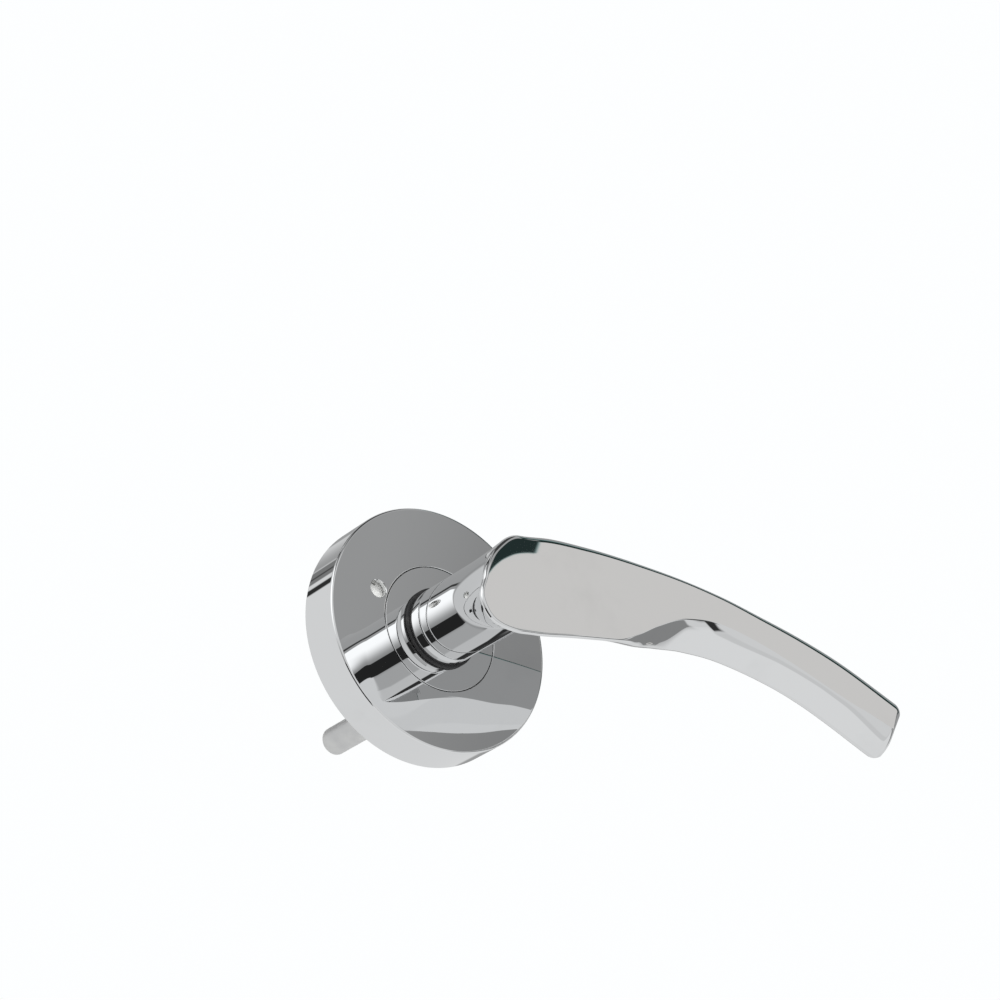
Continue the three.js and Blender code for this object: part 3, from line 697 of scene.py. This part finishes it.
def side_point(row, flat, half, back, drop, deep, bulge, top):
    """Distance from the middle line and depth behind the front for one row."""
    kind, t = row
    if kind == "inset":
        return flat - t, 0.0
    if kind == "edge":
        if top:
            turn = t * math.pi / 2
            return flat + (half - flat) * math.sin(turn), drop * (1 - math.cos(turn))
        # The facet leaves the flat at a crisp line, then rolls over at its lower edge.
        lean = smoothstep(drop, BOTTOM_ROUND, BOTTOM_ROUND * 3)
        turn = t * math.pi / 2
        rolled = (flat + (half - flat) * math.sin(turn), drop * (1 - math.cos(turn)))
        crowned = (lerp(flat, half, t + 0.22 * t * (1 - t)), drop * lerp(t, t * t, 0.35))
        return lerp(rolled[0], crowned[0], lean), lerp(rolled[1], crowned[1], lean)
    hollow = 1 - (1 - t) ** 1.5
    swell_turn = t * math.pi / 2
    swell = 1 - math.cos(swell_turn)
    fall = math.sin(swell_turn)
    inward = lerp(hollow, lerp(swell, t, 0.25), bulge)
    depth = lerp(t, lerp(fall, t, 0.25), bulge)
    return lerp(half, back, inward), lerp(drop, deep, depth)


def skin_point(row, place, top):
    half = stops(HALF_ABOVE if top else HALF_BELOW, place)
    edge_round = stops(TOP_ROUND, place) if top else BOTTOM_ROUND
    drop = edge_round if top else stops(FACET_DROP, place)
    flat = half - edge_round if top else min(half - edge_round, stops(FLAT_BELOW, place))
    inset = stops(BACK_INSET_ABOVE if top else BACK_INSET_BELOW, place)
    bulge = smoothstep(place, 0, NECK_FLARE_END)
    return side_point(row, flat, half, half - inset, drop, LEVER_THICKNESS, bulge, top)


def end_inset(row):
    """How far a row keeps back from the end of the lever, which rounds the tip."""
    kind, t = row
    if kind == "inset":
        return 2.2 + t
    if kind == "edge":
        return 2.2 * (1 - math.sin(t * math.pi / 2))
    return 1.8 * max(0.0, (t - 0.3) / 0.7) ** 2


def lever_loop(line, row):
    """One closed loop of the skin: along the top, round the tip, back below and round the neck."""
    loop = []
    straight_end = line.length - TIP_CORNER

    def put(centre, direction, distance, depth, ahead=0.0):
        across = Vector((-direction.z, 0, direction.x))
        point = centre + across * distance + direction * ahead
        loop.append(Vector((point.x, LEVER_FRONT + depth, point.z)) * MM)

    for step in range(1, SIDE_STEPS + 1):
        place = straight_end * step / SIDE_STEPS
        centre, direction = line.at(place)
        distance, depth = skin_point(row, place, True)
        put(centre, direction, distance, depth)
    centre, direction = line.at(straight_end)
    upper, lower = (skin_point(row, straight_end, top) for top in (True, False))
    corner = TIP_CORNER - end_inset(row)
    for step in range(1, CORNER_STEPS + 1):
        turn = math.pi / 2 * step / CORNER_STEPS
        sunk = corner * (1 - math.cos(turn))
        put(centre, direction, upper[0] - sunk, upper[1], corner * math.sin(turn))
    for step in range(CORNER_STEPS, 0, -1):
        turn = math.pi / 2 * step / CORNER_STEPS
        sunk = corner * (1 - math.cos(turn))
        put(centre, direction, sunk - lower[0], lower[1], corner * math.sin(turn))
    for step in range(SIDE_STEPS, 0, -1):
        place = straight_end * step / SIDE_STEPS
        centre, direction = line.at(place)
        distance, depth = skin_point(row, place, False)
        put(centre, direction, -distance, depth)
    start = line.at(0.0)[1]
    start_angle = math.atan2(start.z, start.x)
    for step in range(PAD_STEPS + 1):
        turn = 180 * step / PAD_STEPS
        edge_round = lerp(BOTTOM_ROUND, TOP_ROUND[0][1], turn / 180)
        rim = stops(PAD_RIM, turn)
        deep = LEVER_THICKNESS + FLARE_DEEPER * math.sin(math.radians(turn))
        distance, depth = side_point(
            row, rim, rim + edge_round, NECK_RADIUS, edge_round, deep, 0.0, True,
        )
        angle = start_angle - math.pi / 2 - math.radians(turn)
        loop.append(Vector((
            distance * math.cos(angle), LEVER_FRONT + depth, distance * math.sin(angle),
        )) * MM)
    return loop


def lever_mesh():
    line = MiddleLine(MIDDLE_POINTS)
    bm = bmesh.new()
    rows = join_loops(bm, [lever_loop(line, row) for row in profile_rows()])
    bm.faces.new(rows[0])
    back = rows[-1]
    # The flat back, round the far half of the neck.
    start = line.at(0.0)[1]
    start_angle = math.atan2(start.z, start.x)
    arc_start = len(back) - (PAD_STEPS + 1)
    back_depth = LEVER_FRONT + LEVER_THICKNESS
    near_arc = back[arc_start:]
    half_turn = []
    for step in range(1, PAD_STEPS):
        angle = start_angle + math.pi / 2 - math.pi * step / PAD_STEPS
        half_turn.append(bm.verts.new(Vector((
            NECK_RADIUS * math.cos(angle), back_depth, NECK_RADIUS * math.sin(angle),
        )) * MM))
    outline = [near_arc[-1], *back[:arc_start], near_arc[0]]
    bm.faces.new(outline + half_turn[::-1])
    neck_top = near_arc + half_turn
    # The neck, the shoulder and the journal below it, as rings of the same count.
    angles = [math.atan2(vert.co.z, vert.co.x) for vert in neck_top]

    def ring(radius, y):
        points = (Vector((radius * math.cos(a), y, radius * math.sin(a))) for a in angles)
        return [bm.verts.new(point * MM) for point in points]

    rings = [neck_top]
    straight_start = back_depth + FLARE_DEEPER + 0.2
    rings += [ring(NECK_RADIUS, y) for y in (straight_start, straight_start + 0.3, NECK_BACK - 0.5)]
    edge_centre = (NECK_RADIUS - JOINT_EDGE, NECK_BACK - JOINT_EDGE)
    rings += [ring(r, y) for r, y in arc(edge_centre, JOINT_EDGE, 0, 90, 3)]
    rings += [ring(JOURNAL_RADIUS, NECK_BACK), ring(JOURNAL_RADIUS, NECK_BACK + 0.1)]
    rings += [ring(JOURNAL_RADIUS, JOURNAL_END - 0.3), ring(JOURNAL_RADIUS - 0.3, JOURNAL_END)]
    for low, high in zip(rings, rings[1:]):
        for i in range(len(low)):
            j = (i + 1) % len(low)
            bm.faces.new((low[i], low[j], high[j], high[i]))
    bm.faces.new(rings[-1])
    bore = BORE_SIZE / 2
    bore_tool = boxed((-bore, SPINDLE_LOW[1] / MM - 0.1, -bore), (bore, 1, bore))
    outside = JOURNAL_RADIUS + 4
    flat_tools = [
        boxed((JOURNAL_FLAT, FLAT_START, -outside), (outside, 1, outside)),
        boxed((-outside, FLAT_START, -outside), (-JOURNAL_FLAT, 1, outside)),
    ]
    grub_y = (GRUB_LOW[1] + GRUB_HIGH[1]) / 2 / MM
    grub_radius = (GRUB_HIGH[1] - GRUB_LOW[1]) / 2 / MM + SEAT_FIT
    grub_out = NECK_RADIUS + 4
    grub_tool = bmesh.new()
    turned(grub_tool, [(0, 3), (grub_radius, 3), (grub_radius, grub_out), (0, grub_out)], 64)
    for vert in grub_tool.verts:
        x, y, z = vert.co
        vert.co = Vector((y, grub_y * MM + x, z))
    return cut(bm, bore_tool, *flat_tools, grub_tool)


# ---------- rose ----------
def cover_mesh():
    edge = 0.6
    lip = 0.12
    inside = ROSE_RADIUS - COVER_WALL
    profile = [
        *arc((OPENING_RADIUS + lip, ROSE_FRONT + lip), lip, 180, 270, 4),
        (OPENING_RADIUS + 0.3, ROSE_FRONT),
        (ROSE_RADIUS - edge - 0.08, ROSE_FRONT),
        *arc((ROSE_RADIUS - edge, ROSE_FRONT + edge), edge, -90, 0, 14),
        (ROSE_RADIUS, ROSE_FRONT + edge + 0.1),
        (ROSE_RADIUS, -0.25),
        *arc((ROSE_RADIUS - 0.2, -0.2), 0.2, 0, 90, 5),
        *arc((inside + 0.2, -0.2), 0.2, 90, 180, 5),
        (inside, COVER_INSIDE + 0.8),
        *arc((inside - 0.8, COVER_INSIDE + 0.8), 0.8, 0, -90, 6)[1:],
        (OPENING_RADIUS, COVER_INSIDE),
    ]
    bm = bmesh.new()
    turned(bm, profile, 256, closed=True)
    drill = bmesh.new()
    chamfer = 0.1
    turned(drill, [
        (0, ROSE_FRONT - 0.5),
        (ACCESS_HOLE_RADIUS + chamfer + 0.5, ROSE_FRONT - 0.5),
        (ACCESS_HOLE_RADIUS, ROSE_FRONT + chamfer),
        (ACCESS_HOLE_RADIUS, COVER_INSIDE + 1),
        (0, COVER_INSIDE + 1),
    ], 96, x=-ACCESS_HOLE_OFFSET)
    return cut(bm, drill)


def collar_mesh():
    edge = 0.1
    bm = bmesh.new()
    turned(bm, [
        (JOURNAL_SEAT, COLLAR_FRONT),
        *arc((NECK_RADIUS - JOINT_EDGE, COLLAR_FRONT + JOINT_EDGE), JOINT_EDGE, -90, 0, 3),
        *arc((NECK_RADIUS - edge, COLLAR_BACK - edge), edge, 0, 90, 6),
        (JOURNAL_SEAT, COLLAR_BACK),
    ], 192, closed=True)
    return bm


def neck_ring_mesh():
    """The dark ring under the collar: a rounded outer edge, and a seat for the collar's end."""
    low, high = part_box("neck_ring")
    front, back, outer = low[1] / MM, high[1] / MM, high[0] / MM
    edge = 0.25
    bm = bmesh.new()
    turned(bm, [
        (JOURNAL_SEAT, front),
        *arc((outer - edge, front + edge), edge, -90, 0, 8),
        (outer, back - 0.06),
        (outer - 0.06, back),
        (JOURNAL_SEAT, back),
    ], 192, closed=True)
    return bm


def disc_mesh():
    outer = DISC_HIGH[0] / MM
    bm = bmesh.new()
    turned(bm, [
        (JOURNAL_SEAT, ROSE_FRONT),
        (outer - 0.2, ROSE_FRONT),
        (outer - 0.12, ROSE_FRONT),
        *arc((outer - 0.1, ROSE_FRONT + 0.1), 0.1, -90, 0, 4),
        (outer, COVER_INSIDE),
        (JOURNAL_SEAT, COVER_INSIDE),
    ], 256, closed=True)
    return bm


def post_mesh(node):
    low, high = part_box(node)
    centre = (low[2] + high[2]) / 2 / MM
    front, end = low[1] / MM, high[1] / MM
    head = (high[0] - low[0]) / 2 / MM
    shank, bore = POST_RADIUS, POST_BORE_RADIUS
    seat = front + POST_HEAD_DEPTH
    bore_end = end - POST_BORE_DEPTH
    round_end = 0.9
    bm = bmesh.new()
    turned(bm, [
        (0, front), (head - 0.3, front), (head, front + 0.3),
        (head, seat - 0.15), (head - 0.15, seat),
        (shank + 0.2, seat), (shank, seat + 0.2), (shank, end - round_end - 0.1),
        *arc((shank - round_end, end - round_end), round_end, 0, 90, 12),
        (bore + 0.35, end), (bore, end - 0.35), (bore, bore_end), (0, bore_end - 1),
    ], 96, z=centre)
    return bm


def spindle_mesh():
    low, high = (tuple(c / MM for c in corner) for corner in (SPINDLE_LOW, SPINDLE_HIGH))
    bm = boxed(low, high)

    def along_axis(edge):
        return abs((edge.verts[0].co - edge.verts[1].co).y)

    long_edges = [e for e in bm.edges if along_axis(e) > 0.01]
    bmesh.ops.bevel(bm, geom=long_edges, offset=0.45 * MM, segments=5, profile=0.5, affect="EDGES")
    caps = [e for e in bm.edges if along_axis(e) < 1e-6 and e.calc_face_angle(0) > 1]
    bmesh.ops.bevel(bm, geom=caps, offset=0.5 * MM, segments=2, profile=0.5, affect="EDGES")
    return bm


# ---------- threads, made by rule ----------
def thread_tree():
    """Ridges of an internal thread: one ring profile, repeated along the bore of each post."""
    tree = bpy.data.node_groups.new("thread_ridges", "GeometryNodeTree")
    face = tree.interface
    for name, value in (
        ("Bore radius", 0.002), ("Pitch", 0.0007), ("Ridge", 0.00022),
        ("Start", 0.01), ("Post offset", 0.019),
    ):
        face.new_socket(name, in_out="INPUT", socket_type="NodeSocketFloat").default_value = value
    face.new_socket("Turns", in_out="INPUT", socket_type="NodeSocketInt").default_value = 18
    face.new_socket("Finish", in_out="INPUT", socket_type="NodeSocketMaterial")
    face.new_socket("Geometry", in_out="OUTPUT", socket_type="NodeSocketGeometry")
    source = tree.nodes.new("NodeGroupInput").outputs
    sink = tree.nodes.new("NodeGroupOutput")

    def node(kind, settings=None, values=None):
        made = tree.nodes.new(kind)
        for name, value in (settings or {}).items():
            setattr(made, name, value)
        for name, value in (values or {}).items():
            if hasattr(value, "is_output"):
                tree.links.new(value, made.inputs[name])
            else:
                made.inputs[name].default_value = value
        return made

    def vector(**parts):
        return node("ShaderNodeCombineXYZ", values=parts).outputs[0]

    circle = node("GeometryNodeCurvePrimitiveCircle", values={
        "Resolution": 48, "Radius": source["Bore radius"],
    })
    section = node("GeometryNodeCurvePrimitiveCircle", values={
        "Resolution": 6, "Radius": source["Ridge"],
    })
    ridge = node("GeometryNodeCurveToMesh", values={
        "Curve": circle.outputs["Curve"], "Profile Curve": section.outputs["Curve"],
    })
    upright = node("GeometryNodeTransform", values={
        "Geometry": ridge.outputs["Mesh"], "Rotation": (math.pi / 2, 0, 0),
    })
    copies = []
    for side in (1.0, -1.0):
        offset = node("ShaderNodeMath", {"operation": "MULTIPLY"})
        tree.links.new(source["Post offset"], offset.inputs[0])
        offset.inputs[1].default_value = side
        line = node("GeometryNodeMeshLine", values={
            "Count": source["Turns"],
            "Start Location": vector(Y=source["Start"], Z=offset.outputs[0]),
            "Offset": vector(Y=source["Pitch"]),
        })
        placed = node("GeometryNodeInstanceOnPoints", values={
            "Points": line.outputs["Mesh"], "Instance": upright.outputs["Geometry"],
        })
        copies.append(placed.outputs["Instances"])
    joined = node("GeometryNodeJoinGeometry")
    for copy in copies:
        tree.links.new(copy, joined.inputs["Geometry"])
    real = node("GeometryNodeRealizeInstances", values={"Geometry": joined.outputs["Geometry"]})
    dressed = node("GeometryNodeSetMaterial", values={
        "Geometry": real.outputs["Geometry"], "Material": source["Finish"],
    })
    tree.links.new(dressed.outputs["Geometry"], sink.inputs["Geometry"])
    return tree


def bake_tree(name, tree, inputs):
    """A plain mesh object from a geometry tree, with its named inputs set by socket identifier."""
    carrier = bpy.data.objects.new(name + "_carrier", bpy.data.meshes.new(name + "_carrier"))
    bpy.context.scene.collection.objects.link(carrier)
    modifier = carrier.modifiers.new("rule", "NODES")
    modifier.node_group = tree
    for item in tree.interface.items_tree:
        if item.in_out == "INPUT" and item.name in inputs:
            modifier[item.identifier] = inputs[item.name]
    shaped = carrier.evaluated_get(bpy.context.evaluated_depsgraph_get())
    mesh = bpy.data.meshes.new_from_object(shaped)
    mesh.name = name
    bpy.data.objects.remove(carrier)
    made = bpy.data.objects.new(name, mesh)
    bpy.context.scene.collection.objects.link(made)
    return made


def post_threads():
    low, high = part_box("fixing_post_top")
    centre = (low[2] + high[2]) / 2
    made = bake_tree("post_threads", thread_tree(), {
        "Bore radius": THREAD_RADIUS * MM, "Pitch": THREAD_PITCH * MM,
        "Ridge": THREAD_RIDGE * MM, "Start": high[1] - THREAD_DEPTH * MM,
        "Post offset": centre, "Turns": THREAD_TURNS, "Finish": ZINC,
    })
    for face in made.data.polygons:
        face.use_smooth = True
    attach(made, "rose")


# ---------- carried-over frame nodes ----------
FINISHES = {
    NYLON: ("rose_base", "cover_release_catch", "bearing_bush", "thrust_washer"),
    SHEET: ("cassette_lid", "lid_screw_right", "lid_screw_left", "drive_plate", "wave_washer",
            "stop_pin_rest", "stop_pin_pressed", "spring_anchor_pin"),
    WIRE: ("return_spring", "cover_snap_ring"),
    BLACK: ("circlip", "grub_screw"),
}


def dress_frame():
    for material, nodes in FINISHES.items():
        for name in nodes:
            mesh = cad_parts[name].data
            mesh.materials.clear()
            mesh.materials.append(material)


camera()
studio()
floor()
dress_frame()
piece("lever_body", lever_mesh(), CHROME, "lever", "chrome_lever", "lever")
piece("rose_cover_shell", cover_mesh(), CHROME, "rose", "chrome_cover", "rose_cover")
piece("collar_sleeve", collar_mesh(), CHROME, "lever", "chrome_lever", "neck_collar")
piece("neck_ring_seal", neck_ring_mesh(), RUBBER, "lever", "black_nylon", "neck_ring")
piece("inner_disc_plate", disc_mesh(), CHROME, "lever", "chrome_cover", "inner_disc")
piece("fixing_post_upper", post_mesh("fixing_post_top"), ZINC, "rose", "zinc_post", "fixing_post_top")
piece("fixing_post_lower", post_mesh("fixing_post_bottom"), ZINC, "rose", "zinc_post",
      "fixing_post_bottom")
piece("spindle_bar", spindle_mesh(), SHEET, "lever", "steel_plate", "spindle", sharp=math.radians(20))
post_threads()

bpy.context.scene.view_settings.view_transform = "Standard"
